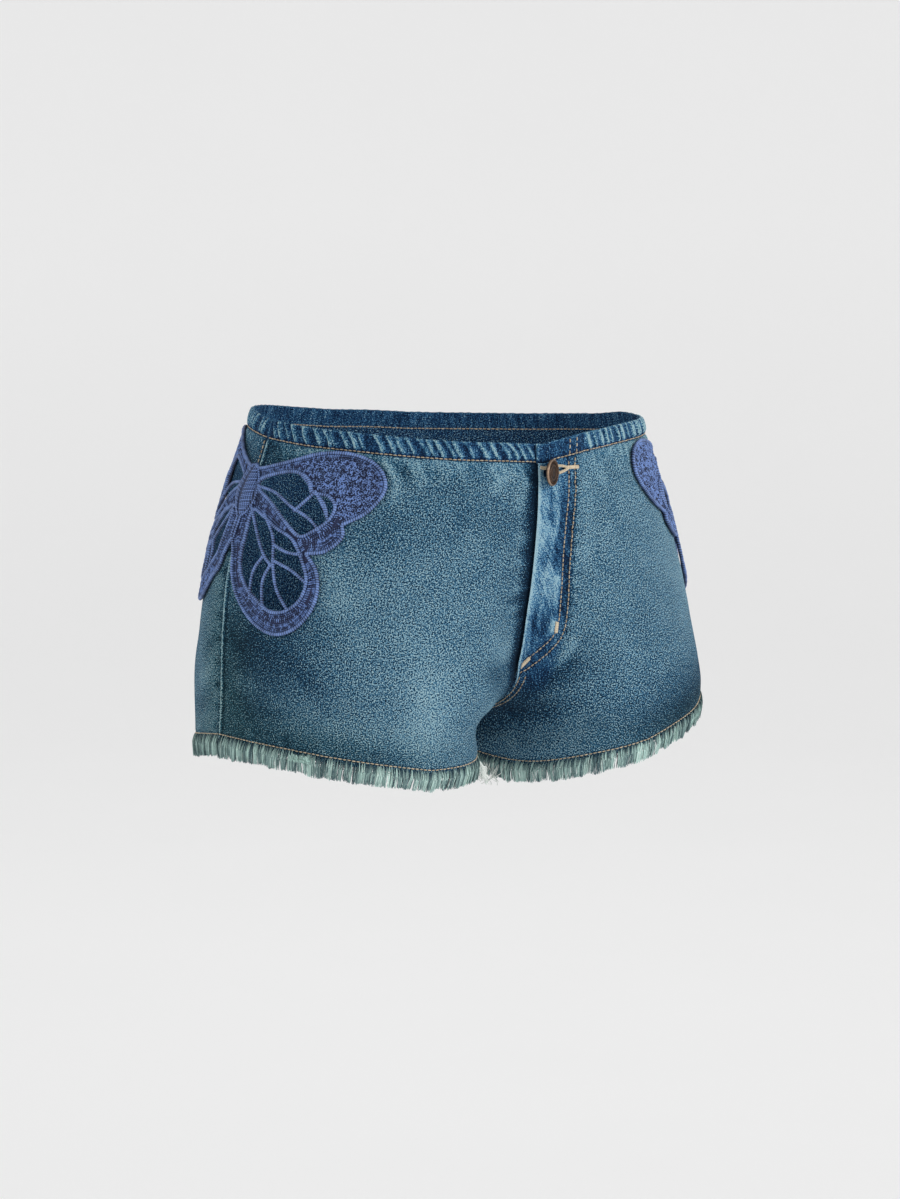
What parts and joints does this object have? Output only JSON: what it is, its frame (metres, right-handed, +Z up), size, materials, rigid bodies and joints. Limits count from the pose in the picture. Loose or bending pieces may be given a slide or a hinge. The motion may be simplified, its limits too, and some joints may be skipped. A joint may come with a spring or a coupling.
{
  "type": "denim shorts",
  "caption": "Low-rise denim shorts with a gathered waist casing, buttoned fly, openwork lace butterflies on both hips and a frayed hem, hollow as worn.",
  "frame": {"origin": "middle of the waist opening, where the wearer's waist holds the garment", "axes": "+Z up out of the waist opening, +X towards the wearer's left, so the fly and front face -Y"},
  "size_m": [0.3292, 0.232, 0.2323],
  "materials": {
    "denim": "washed stretch twill, matt, lighter on the thigh",
    "denim_casing": "the same twill, darker in the gathers",
    "corded_lace": "dense blue-violet machine lace, slightly silky on the cords",
    "frayed_thread": "loose pale weft threads, matt",
    "antique_brass": "worn antique copper brown"
  },
  "bodies": {
    "root": {"front_right": "denim", "front_left": "denim", "back_right": "denim", "back_left": "denim", "band_front_right": "denim_casing", "band_front_left": "denim_casing", "band_back": "denim_casing", "fly_underlap": "denim_casing", "button": "antique_brass", "butterfly_right": "corded_lace", "butterfly_left": "corded_lace", "fringe_right": "frayed_thread", "fringe_left": "frayed_thread"}
  },
  "joints": []
}
